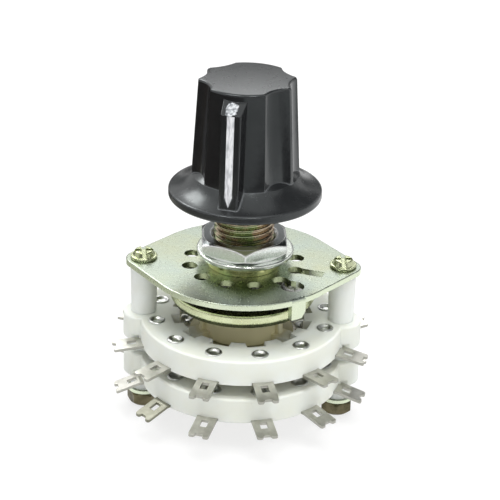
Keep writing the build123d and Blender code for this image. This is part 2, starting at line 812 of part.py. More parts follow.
def make_knob():
    """Fluted pointer knob: skirt, body, pointer rib, hollow underside and bores."""
    rim_top = knob_bottom + knob_rim_height
    waist = knob_bottom + knob_waist_height
    inner = (knob_waist_radius - flute_depth - knob_hub_cone, waist + body_root)
    rim = (knob_rim_radius, rim_top)
    middle = ((rim[0] + knob_waist_radius) / 2 - skirt_hollow, (rim_top + waist) / 2 - skirt_hollow)
    skirt_line = [
        Line((0, knob_bottom), (knob_rim_radius, knob_bottom)),
        Line((knob_rim_radius, knob_bottom), rim),
        ThreePointArc(rim, middle, (knob_waist_radius, waist)),
        Line((knob_waist_radius, waist), inner),
        Line(inner, (0, waist + body_root)),
        Line((0, waist + body_root), (0, knob_bottom)),
    ]
    skirt = revolve(make_face(Plane.XZ * Curve(skirt_line)), Axis.Z)
    outer = knob_rim_radius - seat_clearance
    rims = skirt.edges().filter_by(GeomType.CIRCLE).filter_by(lambda e: e.radius > outer)
    skirt = fillet(rims, knob_rim_edge)
    body = loft([fluted_section(waist - body_root), fluted_section(knob_top)], ruled=True)
    dome_radius = (knob_crown_radius ** 2 / knob_crown_dome + knob_crown_dome) / 2
    body &= Pos(0, 0, knob_top - dome_radius) * Sphere(dome_radius)
    crown = body.faces().filter_by(GeomType.SPHERE).sort_by(Axis.Z)[-1]
    body = fillet(crown.edges(), knob_crown_edge)
    knob = skirt + body + Rot(0, 0, pointer_angle) * make_pointer()
    boss = insert_radius + seat_clearance + knob_boss_wall
    roof = knob_bottom + knob_hollow_depth
    knob -= turned([
        (boss, knob_bottom),
        (knob_rim_radius - knob_wall, knob_bottom),
        (knob_rim_radius - knob_wall, rim_top - knob_hollow_lip),
        (knob_waist_radius - knob_hollow_lip, roof),
        (boss, roof),
    ])
    knob -= rod(insert_radius + seat_clearance, knob_bottom, shaft_top + free_clearance)
    access = Rot(0, 0, grub_angle) * Pos(0, 0, grub_level) * Rot(0, 90, 0)
    knob -= access * rod(grub_radius + grub_access_play, insert_radius - cut_allowance, 2 * insert_radius)
    return knob - make_pointer_line(line_depth)


def make_knob_insert():
    """Brass sleeve moulded into the knob, tapped for the grub screw."""
    sleeve = tube(insert_radius, shaft_radius + seat_clearance / 2, knob_bottom + insert_inset, shaft_top)
    hole = Rot(0, 0, grub_angle) * Pos(0, 0, grub_level) * Rot(0, 90, 0)
    return sleeve - hole * rod(grub_radius + seat_clearance, 0, 2 * insert_radius)


def make_grub_screw():
    """Hexagon-socket grub screw that bears on the shaft's flat."""
    low = shaft_radius - shaft_flat_depth + seat_clearance
    screw = rod(grub_radius, low, low + grub_length)
    socket = Pos(0, 0, low + grub_length - grub_socket_depth)
    screw -= socket * extrude(RegularPolygon(grub_socket / 2, 6, major_radius=False), grub_socket_depth)
    return Rot(0, 0, grub_angle) * Pos(0, 0, grub_level) * Rot(0, 90, 0) * screw


def jaw_reach_at(angle):
    """The common contact reaches the ring; a throw contact reaches only the tongue."""
    return common_jaw_reach if abs(angle - common_angle) < 1 else throw_jaw_reach


def add_deck(nodes, name, top, bends):
    """One deck: stator, contacts, eyelets and rotor."""
    bottom = top - stator_thickness
    nodes[f"{name}_stator"] = make_stator(top)
    springs = []
    eyelets = []
    for number, angle in enumerate(lug_angles):
        reach = jaw_reach_at(angle)
        terminal = make_terminal(bottom, bends[number], reach)
        kind = "common" if reach == common_jaw_reach else f"terminal_{number + 1:02d}"
        nodes[f"{name}_{kind}"] = Rot(0, 0, angle) * terminal
        springs.append(Rot(0, 0, angle) * make_contact_spring(bottom, reach))
        eyelets.append(at(make_eyelet(top), eyelet_ring_radius, angle))
    nodes[f"{name}_contact_springs"] = Compound(children=springs)
    nodes[f"{name}_eyelets"] = Compound(children=eyelets)
    nodes[f"{name}_rotor"] = make_rotor(top)
    nodes[f"{name}_rotor_blade"] = make_rotor_blade(top)


def add_tie(nodes, name, side, number):
    """One tie screw with its spacers, washer and nut."""
    place = Pos(side * tie_offset, 0, 0)
    nodes[f"{name}_tie_screw"] = place * make_tie_screw(tie_recess_turns[number])
    nodes[f"{name}_upper_spacer"] = place * make_spacer(upper_deck_top, plate_bottom, spacer_foot_radius)
    nodes[f"{name}_middle_spacer"] = place * make_spacer(lower_deck_top, upper_deck_bottom, spacer_radius)
    nodes[f"{name}_lower_spacer"] = place * make_spacer(tie_washer_top, lower_deck_bottom, spacer_radius)
    nodes[f"{name}_tie_washer"] = place * make_tie_washer()
    nodes[f"{name}_tie_nut"] = place * make_tie_nut(tie_nut_turns[number])


def make_nodes():
    """Every piece of the switch, by name."""
    nodes = {
        "knob": make_knob(),
        "pointer_line": make_pointer_line(line_depth),
        "knob_insert": make_knob_insert(),
        "grub_screw": make_grub_screw(),
        "shaft": make_shaft(),
        "shaft_clip": make_shaft_clip(),
        "drive_blade": make_drive_blade(),
        "bushing": make_bushing(),
        "panel_washer": make_panel_washer(),
        "panel_nut": make_panel_nut(),
        "mounting_plate": make_mounting_plate(),
        "detent_disc": make_detent_disc(),
        "detent_spring": make_detent_spring(),
        "detent_balls": make_detent_balls(),
    }
    add_deck(nodes, "upper", upper_deck_top, upper_tail_angles)
    add_deck(nodes, "lower", lower_deck_top, lower_tail_angles)
    add_tie(nodes, "left", -1, 0)
    add_tie(nodes, "right", 1, 1)
    return nodes


os.makedirs("parts", exist_ok=True)
for node_name, shape in make_nodes().items():
    export_step(shape, f"parts/{node_name}.step")
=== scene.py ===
import math

import bmesh
import bpy
from mathutils import Matrix, Vector


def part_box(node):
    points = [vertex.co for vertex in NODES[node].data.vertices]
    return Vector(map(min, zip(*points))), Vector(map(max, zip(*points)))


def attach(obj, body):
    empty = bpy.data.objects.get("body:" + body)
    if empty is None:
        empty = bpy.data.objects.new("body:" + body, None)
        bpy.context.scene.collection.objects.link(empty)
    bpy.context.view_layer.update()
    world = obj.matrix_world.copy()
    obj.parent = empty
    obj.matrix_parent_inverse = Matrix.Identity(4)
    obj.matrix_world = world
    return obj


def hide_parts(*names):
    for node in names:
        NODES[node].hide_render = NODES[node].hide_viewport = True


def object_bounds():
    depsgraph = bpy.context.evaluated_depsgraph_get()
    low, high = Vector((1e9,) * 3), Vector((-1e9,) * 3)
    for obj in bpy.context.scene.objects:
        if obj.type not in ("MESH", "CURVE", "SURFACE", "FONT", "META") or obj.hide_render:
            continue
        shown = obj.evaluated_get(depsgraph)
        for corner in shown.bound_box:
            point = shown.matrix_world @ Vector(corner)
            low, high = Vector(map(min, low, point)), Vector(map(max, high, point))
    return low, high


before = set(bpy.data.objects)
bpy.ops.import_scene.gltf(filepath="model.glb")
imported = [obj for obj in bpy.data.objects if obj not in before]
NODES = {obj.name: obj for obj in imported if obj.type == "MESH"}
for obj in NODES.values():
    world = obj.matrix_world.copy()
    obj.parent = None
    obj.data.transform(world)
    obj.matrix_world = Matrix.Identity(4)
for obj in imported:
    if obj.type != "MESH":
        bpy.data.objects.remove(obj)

CAD_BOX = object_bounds()
MM = 0.001

# Camera, fitted to the photograph, in millimetres of film and degrees
SENSOR = 36.0
LENS = 130.18
CAMERA_DISTANCE = 301.4 * MM
CAMERA_AZIMUTH = 2.47
CAMERA_ELEVATION = 25.24
CAMERA_TARGET = Vector((1.06, 0.05, 0.17)) * MM
CAMERA_ROLL = 1.565

# Threaded bushing
BUSHING_LOW, BUSHING_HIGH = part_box("bushing")
THREAD_RADIUS = 5.0 * MM
THREAD_DEPTH = 0.46 * MM
THREAD_PITCH = 1.0 * MM
THREAD_FLAT = 0.25
THREAD_RUN_OUT = 0.25 * MM
THREAD_TOP = BUSHING_HIGH.z
THREAD_CHAMFER = 0.5 * MM
THREAD_SEGMENTS = 120
THREAD_ROWS = 12
BUSHING_BORE = 3.05 * MM
BORE_CHAMFER = 0.32 * MM
COLLAR_RADIUS = 6.15 * MM
COLLAR_CHAMFER = 0.24 * MM
COLLAR_BOTTOM = -2.0 * MM
PLATE_BOTTOM = -3.0 * MM
NECK_RADIUS = 5.15 * MM
RIM_RADIUS = 6.0 * MM
RIM_BOTTOM = -3.75 * MM
DOG_BOTTOM = BUSHING_LOW.z
DOG_INNER = 4.85 * MM
DOG_OUTER = 5.9 * MM
DOG_ANGLE = 75.0
DOG_SPAN = 25.0
DOG_STEPS = 8
SOFT_EDGE = 0.08 * MM

# Eyelets: their own sizes, how much their crests differ, and how far they lean in degrees
FIRST_LUG_ANGLE = 15.0
LUG_PITCH = 30.0
LUG_COUNT = 12
EYELET_RING = 14.63 * MM
EYELET_SEGMENTS = 36
EYELET_STEM = 0.9 * MM
EYELET_FLANGE = 1.42 * MM
EYELET_CREST = 0.24 * MM
EYELET_CUP = 0.7 * MM
EYELET_FOOT = 0.2 * MM
EYELET_SPREAD = 0.2 * MM
EYELET_UNLIKE = 0.15
EYELET_TILT = 1.2

# Small chamfers on CAD pieces, along edges sharper than this angle
TERMINAL_EDGE = 0.07 * MM
FASTENER_EDGE = 0.10 * MM
SHARP_ANGLE = 40.0

# New meshes: points closer than this are one, and edges sharper than this angle stay sharp
SAME_POINT = 0.0005 * MM
SMOOTH_ANGLE = 35.0

# Noise lies mostly between these values
NOISE_LOW = 0.3
NOISE_HIGH = 0.7

# How well a rounded normal and the true one agree at an edge, and where the edge's effect ends
EDGE_MATCH = (0.93, 0.995)

# Knob: heights over which the skirt's satin, its painted edge highlights and the top's satin end or begin
SKIRT_SATIN = (14.2 * MM, 15.0 * MM)
SKIRT_HIGHLIGHT = (14.2 * MM, 15.2 * MM)
TOP_SATIN = (30.15 * MM, 30.4 * MM)

# Paint splashed on the pointer's sloping head
HEAD_PAINT_PLACE = Vector((-1.95, -9.3, 28.5)) * MM
HEAD_PAINT_SIZE = Vector((1.5, 2.2, 1.6)) * MM

# Painted shade on the plate in front of the bushing, where the knob darkens its reflection, and the radius
# beyond which its cut edge gets a painted highlight
FRONT_SHADE_PLACE = Vector((1.6, -11.0, -2.0)) * MM
FRONT_SHADE_SIZE = Vector((8.0, 5.4, 3.0)) * MM
PLATE_RIM_START = 11.5 * MM
RIM_BLEND = 0.3 * MM

# Nut: a dull olive patch on its front corner, and the ring round the thread that gets a painted highlight
NUT_FRONT_PLACE = Vector((0.5, -7.2, 3.2)) * MM
NUT_FRONT_SIZE = Vector((3.8, 3.2, 5.0)) * MM
NUT_RING = (5.30 * MM, 5.42 * MM)

# Stators: radii over which the olive tint at the hub and the wider olive tint fade out
HUB_OLIVE_FADE = (7.4 * MM, 8.6 * MM)
OLIVE_START = 8.2 * MM
UPPER_OLIVE_END = 10.3 * MM
LOWER_OLIVE_END = 19.0 * MM
OLIVE_WANDER = 0.6 * MM

# Colours of the knob and its paint, in linear red, green and blue like all that follow
KNOB_PLAIN = (0.012, 0.0125, 0.0135)
KNOB_DARK = (0.010, 0.0105, 0.0115)
KNOB_LIGHT = (0.015, 0.0155, 0.0165)
# Painted highlight along the edges of the knob's skirt
KNOB_EDGE_HIGHLIGHT = (0.20, 0.21, 0.22)
KNOB_SHEEN = (0.93, 1.0, 1.0, 1)
PAINT_PLAIN = (0.78, 0.79, 0.80)
PAINT_DARK = (0.42, 0.43, 0.45)
PAINT_MIDDLE = (0.76, 0.77, 0.79)
PAINT_LIGHT = (0.90, 0.90, 0.91)
WORN_PAINT_DARK = (0.10, 0.11, 0.12)
WORN_PAINT_LIGHT = (0.66, 0.68, 0.70)

# Colours of the nickel
NUT_NICKEL = (0.94, 0.97, 0.95)
WASHER_NICKEL = (0.74, 0.78, 0.71)
PITTED_NICKEL = (0.52, 0.55, 0.54)
# Painted light on the nut: a painted dark reflection on its top faces, a painted highlight on its edges, and
# a dull olive patch
NUT_TOP_DARK_REFLECTION = (0.11, 0.12, 0.12)
NUT_EDGE_HIGHLIGHT = (0.96, 0.97, 0.96)
NUT_FRONT_OLIVE = (0.30, 0.32, 0.18)

# Colours of the chromated zinc
PLATE_PLAIN = (0.60, 0.67, 0.56)
PLATE_COOL = (0.375, 0.43, 0.38)
PLATE_GREEN = (0.39, 0.435, 0.355)
PLATE_YELLOW = (0.405, 0.43, 0.31)
PLATE_GRAIN = (0.36, 0.39, 0.30)
# Painted shade in front of the bushing, a painted highlight on the rim's side faces, and painted shade in
# the holes
PLATE_FRONT_SHADE = (0.13, 0.17, 0.075)
PLATE_RIM_HIGHLIGHT = (0.71, 0.78, 0.59)
PLATE_HOLE_SHADE = (0.34, 0.39, 0.20)
DISC_LIGHT = (0.66, 0.71, 0.46)
DISC_DARK = (0.54, 0.57, 0.34)
# Painted shade on the disc's upper face, which lies under the plate
DISC_TOP_SHADE = (0.030, 0.028, 0.015)
# Painted shade: the spring's zinc, darkened far below the disc's where it lies under the disc
SPRING_SHADED_LIGHT = (0.060, 0.068, 0.032)
SPRING_SHADED_DARK = (0.030, 0.034, 0.018)
SCREW_LIGHT = (0.54, 0.58, 0.38)
SCREW_DARK = (0.36, 0.40, 0.22)
THREAD_PLAIN = (0.55, 0.45, 0.28)
THREAD_BROWN = (0.36, 0.24, 0.17)
THREAD_COPPER = (0.44, 0.37, 0.26)
THREAD_OLIVE = (0.33, 0.38, 0.20)
THREAD_GREEN = (0.24, 0.30, 0.16)
COLLAR_YELLOW = (0.62, 0.62, 0.30)
COLLAR_GREEN = (0.42, 0.50, 0.22)

# Colours of the mouldings
STATOR_LIGHT = (0.83, 0.86, 0.81)
STATOR_DARK = (0.82, 0.84, 0.76)
SPACER_LIGHT = (0.86, 0.89, 0.85)
SPACER_DARK = (0.82, 0.84, 0.79)
ROTOR_LIGHT = (0.50, 0.47, 0.27)
ROTOR_DARK = (0.40, 0.38, 0.22)
MOULDING_SMUDGE = (0.50, 0.50, 0.48)
WIDE_OLIVE = (0.55, 0.52, 0.33)
HUB_OLIVE = (0.72, 0.67, 0.41)

# Colours of the other metals
TIN_LIGHT = (0.66, 0.652, 0.60)
TIN_DARK = (0.515, 0.51, 0.46)
# Painted shade on the contacts' faces that don't face up, which also stands for dull cut edges
TIN_SIDE_SHADE = (0.30, 0.30, 0.26)
DULL_TIN_LIGHT = (0.33, 0.33, 0.27)
DULL_TIN_DARK = (0.24, 0.24, 0.19)
DULL_TIN_SIDE_SHADE = (0.20, 0.20, 0.15)
EYELET_LIGHT = (0.58, 0.59, 0.57)
EYELET_DARK = (0.42, 0.43, 0.42)
BRONZE_LIGHT = (0.17, 0.15, 0.09)
BRONZE_DARK = (0.06, 0.055, 0.03)
SILVER_LIGHT = (0.72, 0.70, 0.66)
SILVER_DARK = (0.58, 0.55, 0.50)
STEEL_LIGHT = (0.58, 0.58, 0.57)
STEEL_DARK = (0.46, 0.46, 0.46)
BRASS_LIGHT = (0.78, 0.60, 0.28)
BRASS_DARK = (0.62, 0.46, 0.20)

# Light of the dome on the object
DOME_LIGHT = 0.60

# Floor: its true tone, the tone the camera sees, and the white that is added there
FLOOR_RADIUS = 3.0
FLOOR_TONE = 0.68
FLOOR_SEEN_TONE = 0.30
FLOOR_GLOW = 0.72

# Cards lie this far above the floor, and each layer of them a step higher
CARD_LIFT = 1.5 * MM
CARD_STEP = 1.0 * MM

# The look of each CAD node, by its whole name or else by its ending
NODE_LOOKS = {
    "knob": "knob",
    "pointer_line": "paint",
    "knob_insert": "brass",
    "grub_screw": "steel",
    "shaft": "steel",
    "shaft_clip": "steel",
    "drive_blade": "steel",
    "bushing": "thread",
    "panel_nut": "nut",
    "panel_washer": "washer",
    "mounting_plate": "plate",
    "detent_disc": "disc",
    "detent_spring": "spring",
    "detent_balls": "steel",
    "lower_stator": "lower_stator",
    "lower_terminal_08": "dull_tin",
}
ENDING_LOOKS = {
    "_stator": "stator",
    "_spacer": "spacer",
    "_rotor": "rotor",
    "_rotor_blade": "blade",
    "_tie_screw": "screw",
    "_tie_washer": "plate",
    "_tie_nut": "bronze",
    "_common": "tin",
    "_contact_springs": "tin",
    "_eyelets": "eyelet",
}


class Look:
    """A material with a Principled shader, and short calls for the nodes that feed it."""

    def __init__(self, name, color, roughness, metallic=0.0, **sockets):
        self.material = bpy.data.materials.new(name)
        self.material.use_nodes = True
        self.tree = self.material.node_tree
        self.shader = self.tree.nodes["Principled BSDF"]
        self.shader.inputs["Base Color"].default_value = (*color, 1)
        self.shader.inputs["Roughness"].default_value = roughness
        self.shader.inputs["Metallic"].default_value = metallic
        for socket, value in sockets.items():
            self.shader.inputs[socket.replace("_", " ")].default_value = value
        coordinates = self.tree.nodes.new("ShaderNodeTexCoord")
        self.place = coordinates.outputs["Object"]

    def link(self, source, target):
        """Feed one socket from another."""
        self.tree.links.new(source, target)

    def stretched(self, scale):
        """Object coordinates, scaled by axis."""
        node = self.tree.nodes.new("ShaderNodeVectorMath")
        node.operation = "MULTIPLY"
        node.inputs[1].default_value = scale
        self.link(self.place, node.inputs[0])
        return node.outputs[0]

    def noise(self, size, detail=4.0, rough=0.55, scale=(1, 1, 1), distortion=0.0):
        """Noise whose features are about size metres across, 0 to 1."""
        node = self.tree.nodes.new("ShaderNodeTexNoise")
        node.inputs["Scale"].default_value = 1.0 / size
        node.inputs["Detail"].default_value = detail
        node.inputs["Roughness"].default_value = rough
        node.inputs["Distortion"].default_value = distortion
        self.link(self.stretched(scale), node.inputs["Vector"])
        return node.outputs["Fac"]

    def ramp(self, source, stops):
        """A colour ramp: stops are (position, colour) pairs."""
        node = self.tree.nodes.new("ShaderNodeValToRGB")
        elements = node.color_ramp.elements
        while len(elements) < len(stops):
            elements.new(0.5)
        for element, (position, color) in zip(elements, stops):
            element.position = position
            element.color = (*color, 1)
        self.link(source, node.inputs["Fac"])
        return node.outputs["Color"]

    def span(self, source, low, high, low_to, high_to):
        """A value moved from one range to another, and clamped."""
        node = self.tree.nodes.new("ShaderNodeMapRange")
        node.inputs["From Min"].default_value = low
        node.inputs["From Max"].default_value = high
        node.inputs["To Min"].default_value = low_to
        node.inputs["To Max"].default_value = high_to
        self.link(source, node.inputs["Value"])
        return node.outputs["Result"]

    def wander(self, source, low, high):
        """A noise's usual range moved to another range, and clamped."""
        return self.span(source, NOISE_LOW, NOISE_HIGH, low, high)

    def math(self, operation, first, second):
        """A maths node on two outputs or numbers."""
        node = self.tree.nodes.new("ShaderNodeMath")
        node.operation = operation
        for socket, value in zip(node.inputs, (first, second)):
            if isinstance(value, (int, float)):
                socket.default_value = value
            else:
                self.link(value, socket)
        return node.outputs[0]

    def mix(self, factor, first, second):
        """Two colours mixed by a factor; each is an output or a tuple."""
        node = self.tree.nodes.new("ShaderNodeMix")
        node.data_type = "RGBA"
        self.link(factor, node.inputs["Factor"])
        for socket, value in zip((node.inputs[6], node.inputs[7]), (first, second)):
            if isinstance(value, tuple):
                socket.default_value = (*value, 1)
            else:
                self.link(value, socket)
        return node.outputs[2]

    def color(self, source):
        """Feed the base colour."""
        self.link(source, self.shader.inputs["Base Color"])

    def roughness(self, source):
        """Feed the roughness."""
        self.link(source, self.shader.inputs["Roughness"])

    def bump(self, source, height, rounding=0.0):
        """Bump of a real height in metres, over a shader rounding of the edges."""
        node = self.tree.nodes.new("ShaderNodeBump")
        node.inputs["Strength"].default_value = 1.0
        node.inputs["Distance"].default_value = height
        self.link(source, node.inputs["Height"])
        if rounding:
            edge = self.tree.nodes.new("ShaderNodeBevel")
            edge.samples = 6
            edge.inputs["Radius"].default_value = rounding
            self.link(edge.outputs[0], node.inputs["Normal"])
        self.link(node.outputs[0], self.shader.inputs["Normal"])

    def height(self):
        """Height above the shared frame's origin."""
        node = self.tree.nodes.new("ShaderNodeSeparateXYZ")
        self.link(self.place, node.inputs[0])
        return node.outputs["Z"]

    def blot(self, place, size, ragged):
        """A patch of splashed paint: 1 inside a ragged outline, 0 outside."""
        wobble = self.span(self.noise(ragged, detail=4, rough=0.6), 0.25, 0.75, -0.3, 0.3)
        inside = self.patch(place, size, 1.0)
        return self.span(self.math("ADD", inside, wobble), 0.30, 0.36, 0.0, 1.0)

    def patch(self, place, size, soft):
        """A soft-edged patch: 1 in the middle of an ellipsoid, 0 beyond it."""
        shift = self.tree.nodes.new("ShaderNodeVectorMath")
        shift.operation = "SUBTRACT"
        shift.inputs[1].default_value = place
        self.link(self.place, shift.inputs[0])
        scale = self.tree.nodes.new("ShaderNodeVectorMath")
        scale.operation = "DIVIDE"
        scale.inputs[1].default_value = size
        self.link(shift.outputs[0], scale.inputs[0])
        length = self.tree.nodes.new("ShaderNodeVectorMath")
        length.operation = "LENGTH"
        self.link(scale.outputs[0], length.inputs[0])
        return self.span(length.outputs["Value"], 1.0 - soft, 1.0, 1.0, 0.0)

    def radius(self):
        """Distance from the shaft's axis."""
        node = self.tree.nodes.new("ShaderNodeVectorMath")
        node.operation = "LENGTH"
        self.link(self.stretched((1, 1, 0)), node.inputs[0])
        return node.outputs["Value"]

    def edges(self, width):
        """1 along the solid's edges, 0 about a width away from them."""
        rounded = self.tree.nodes.new("ShaderNodeBevel")
        rounded.samples = 16
        rounded.inputs["Radius"].default_value = width
        geometry = self.tree.nodes.new("ShaderNodeNewGeometry")
        match = self.tree.nodes.new("ShaderNodeVectorMath")
        match.operation = "DOT_PRODUCT"
        self.link(rounded.outputs[0], match.inputs[0])
        self.link(geometry.outputs["True Normal"], match.inputs[1])
        return self.span(match.outputs["Value"], *EDGE_MATCH, 1.0, 0.0)

    def outside(self, limit):
        """1 beyond a radius, 0 within it."""
        return self.span(self.radius(), limit - RIM_BLEND, limit + RIM_BLEND, 0.0, 1.0)

    def facing_up(self):
        """The upward part of the surface normal."""
        geometry = self.tree.nodes.new("ShaderNodeNewGeometry")
        node = self.tree.nodes.new("ShaderNodeSeparateXYZ")
        self.link(geometry.outputs["Normal"], node.inputs[0])
        return node.outputs["Z"]


def make_knob_look():
    """Black thermoset moulding: glossy sides, satin top and skirt, a painted highlight along the skirt's
    edges, and paint splashed on the pointer.
    """
    look = Look("knob_plastic", KNOB_PLAIN, 0.14, IOR=1.56, Specular_Tint=KNOB_SHEEN)
    height = look.height()
    mottle = look.noise(2.5 * MM, detail=3)
    plain = look.ramp(mottle, [(0.3, KNOB_DARK), (0.7, KNOB_LIGHT)])
    # Painted highlight: grey lines along the skirt's edges
    skirt_highlight = look.math("MULTIPLY", look.edges(0.60 * MM), look.span(height, *SKIRT_HIGHLIGHT, 0.5, 0.0))
    plastic_and_highlight = look.mix(skirt_highlight, plain, KNOB_EDGE_HIGHLIGHT)
    splash = look.blot(HEAD_PAINT_PLACE, HEAD_PAINT_SIZE, 0.9 * MM)
    worn = look.ramp(look.noise(0.5 * MM, detail=5), [(0.38, WORN_PAINT_DARK), (0.60, WORN_PAINT_LIGHT)])
    look.color(look.mix(splash, plastic_and_highlight, worn))
    sides = look.wander(look.noise(0.8 * MM, detail=5), 0.10, 0.17)
    skirt = look.span(height, *SKIRT_SATIN, 0.11, 0.0)
    top = look.span(height, *TOP_SATIN, 0.0, 0.16)
    satin = look.math("MAXIMUM", look.math("MAXIMUM", top, skirt), look.math("MULTIPLY", splash, 0.3))
    look.roughness(look.math("ADD", sides, satin))
    look.bump(look.noise(1.6 * MM, detail=2), 0.010 * MM, 0.16 * MM)
    return look.material


def make_paint_look():
    """Silver-white filling paint, streaked along the groove."""
    look = Look("pointer_paint", PAINT_PLAIN, 0.38)
    streak = look.noise(0.35 * MM, detail=5, scale=(1, 1, 0.18))
    look.color(look.ramp(streak, [(0.34, PAINT_DARK), (0.52, PAINT_MIDDLE), (0.7, PAINT_LIGHT)]))
    look.bump(streak, 0.05 * MM)
    return look.material


def make_nickel_look(name, color, with_painted_light=False):
    """Bright nickel plating with tumbling marks; with painted light, its top faces are darkened as a painted
    reflection of the knob's underside, a dull olive patch sits on the front corner, and its edges and the
    ring round the thread get a painted highlight.
    """
    look = Look(name, color, 0.15, metallic=1.0)
    pits = look.noise(0.25 * MM, detail=6, rough=0.65)
    plating = look.mix(look.span(pits, 0.40, 0.62, 0.5, 0.0), color, PITTED_NICKEL)
    if with_painted_light:
        # Painted dark reflection on the top faces, a dull olive patch at the front, and painted highlights
        # on the edges and the ring
        upper = look.span(look.facing_up(), 0.62, 0.78, 0.0, 1.0)
        front_patch = look.math("MULTIPLY", look.patch(NUT_FRONT_PLACE, NUT_FRONT_SIZE, 0.5), upper)
        ring = look.math("MULTIPLY", look.span(look.radius(), *NUT_RING, 1.0, 0.0), upper)
        nut_highlight = look.math("MULTIPLY", look.math("MAXIMUM", ring, look.edges(0.80 * MM)), 0.9)
        dark_top_and_patch = look.mix(front_patch, look.mix(upper, plating, NUT_TOP_DARK_REFLECTION), NUT_FRONT_OLIVE)
        plating = look.mix(nut_highlight, dark_top_and_patch, NUT_EDGE_HIGHLIGHT)
        metal_share = look.span(look.math("MAXIMUM", front_patch, nut_highlight), 0.0, 1.0, 1.0, 0.15)
        look.link(metal_share, look.shader.inputs["Metallic"])
    look.color(plating)
    look.roughness(look.span(pits, 0.35, 0.75, 0.10, 0.28))
    look.bump(pits, 0.008 * MM, 0.30 * MM)
    return look.material


def make_plate_look():
    """Pale green-yellow chromated zinc: slow drifts of colour, painted shade in front of the bushing, a
    painted highlight on the rim, painted shade in the holes.
    """
    look = Look("plate_zinc", PLATE_PLAIN, 0.28, metallic=1.0)
    drift = look.noise(9.0 * MM, detail=3, distortion=0.6)
    base = look.ramp(drift, [(0.30, PLATE_COOL), (0.48, PLATE_GREEN), (0.68, PLATE_YELLOW)])
    grain = look.noise(0.5 * MM, detail=5, rough=0.6)
    zinc = look.mix(look.span(grain, 0.45, 0.8, 0.0, 0.2), base, PLATE_GRAIN)
    # Painted shade in front of the bushing, where the knob darkens the plate's reflection
    front_shade = look.math("MULTIPLY", look.patch(FRONT_SHADE_PLACE, FRONT_SHADE_SIZE, 0.8), 0.88)
    shaded_zinc = look.mix(front_shade, zinc, PLATE_FRONT_SHADE)
    flat = look.facing_up()
    # Painted highlight on the rim's side faces, and painted shade on the walls of the holes
    rim = look.math("MULTIPLY", look.span(flat, 0.3, 0.6, 0.9, 0.0), look.outside(PLATE_RIM_START))
    hole = look.math("MULTIPLY", look.span(flat, 0.3, 0.6, 0.7, 0.0), look.span(rim, 0.0, 0.1, 1.0, 0.0))
    look.color(look.mix(hole, look.mix(rim, shaded_zinc, PLATE_RIM_HIGHLIGHT), PLATE_HOLE_SHADE))
    look.roughness(look.wander(grain, 0.26, 0.30))
    look.bump(grain, 0.0005 * MM, 0.10 * MM)
    return look.material


def make_disc_look(name, light, dark, top_shade=0.0):
    """Yellow chromated zinc, perhaps with painted shade on its upper face."""
    look = Look(name, light, 0.25, metallic=1.0)
    zinc = look.ramp(look.noise(3.0 * MM, detail=4), [(0.3, dark), (0.6, light)])
    if top_shade:
        # Painted shade on the faces that face up
        zinc = look.mix(look.span(look.facing_up(), 0.75, 0.95, 0.0, top_shade), zinc, DISC_TOP_SHADE)
    look.color(zinc)
    grain = look.noise(0.3 * MM, detail=5)
    look.roughness(look.wander(grain, 0.20, 0.32))
    look.bump(grain, 0.005 * MM, 0.14 * MM)
    return look.material


def make_thread_look():
    """Yellow chromate: brown, copper and green patches on the thread, yellow and green on the collar."""
    look = Look("thread_zinc", THREAD_PLAIN, 0.22, metallic=1.0)
    patches = look.noise(3.2 * MM, detail=3, distortion=0.4)
    thread = look.ramp(patches, [
        (0.30, THREAD_BROWN),
        (0.45, THREAD_COPPER),
        (0.56, THREAD_OLIVE),
        (0.70, THREAD_GREEN),
    ])
    collar = look.ramp(patches, [(0.35, COLLAR_YELLOW), (0.62, COLLAR_GREEN)])
    below = look.span(look.height(), -0.1 * MM, 0.1 * MM, 1.0, 0.0)
    look.color(look.mix(below, thread, collar))
    grain = look.noise(0.3 * MM, detail=4)
    look.roughness(look.wander(grain, 0.14, 0.30))
    look.bump(grain, 0.010 * MM)
    return look.material


def make_moulding_look(name, light, dark, olive_tint=0.0, olive_tint_end=UPPER_OLIVE_END):
    """Satin moulding, slightly translucent, with faint marks and perhaps an olive tint round the hub,
    stronger on faces that face up.
    """
    look = Look(
        name, light, 0.42, IOR=1.49, Specular_IOR_Level=0.3,
        Subsurface_Weight=0.35, Subsurface_Radius=(1.0, 0.95, 0.85), Subsurface_Scale=1.2 * MM,
    )
    cloud = look.noise(5.0 * MM, detail=4)
    base = look.ramp(cloud, [(0.32, dark), (0.62, light)])
    smudge = look.noise(0.8 * MM, detail=6, rough=0.7, scale=(1, 1, 0.35))
    marked = look.mix(look.span(smudge, 0.66, 0.80, 0.0, 0.35), base, MOULDING_SMUDGE)
    # An olive tint round the hub, fading outwards, stronger on faces that face up
    if olive_tint:
        edge = look.math("ADD", look.radius(), look.wander(cloud, -OLIVE_WANDER, OLIVE_WANDER))
        flat = look.span(look.facing_up(), -0.2, 0.6, 0.35, 1.0)
        wide = look.math("MULTIPLY", look.span(edge, OLIVE_START, olive_tint_end, olive_tint, 0.0), flat)
        marked = look.mix(wide, marked, WIDE_OLIVE)
        marked = look.mix(look.span(edge, *HUB_OLIVE_FADE, 0.95, 0.0), marked, HUB_OLIVE)
    look.color(marked)
    fine = look.noise(0.5 * MM, detail=4)
    look.roughness(look.wander(fine, 0.44, 0.58))
    look.bump(fine, 0.010 * MM, 0.15 * MM)
    return look.material


def make_metal_look(name, light, dark, smooth, rough, pit=0.012, size=0.4, side_shade=None):
    """Plated metal: two tones by noise, a range of roughness, pits in mm and perhaps painted shade on faces
    that don't face up, which also stands for dull cut edges.
    """
    look = Look(name, light, (smooth + rough) / 2, metallic=1.0)
    tone = look.noise(size * 4 * MM, detail=5, rough=0.6)
    coat = look.ramp(tone, [(0.32, dark), (0.62, light)])
    if side_shade:
        # Painted shade on faces that don't face up, which also stands for dull cut edges
        coat = look.mix(look.span(look.facing_up(), 0.35, 0.75, 0.65, 0.0), coat, side_shade)
    look.color(coat)
    grain = look.noise(size * MM, detail=5, rough=0.65)
    look.roughness(look.wander(grain, smooth, rough))
    look.bump(grain, pit * MM, 0.06 * MM)
    return look.material


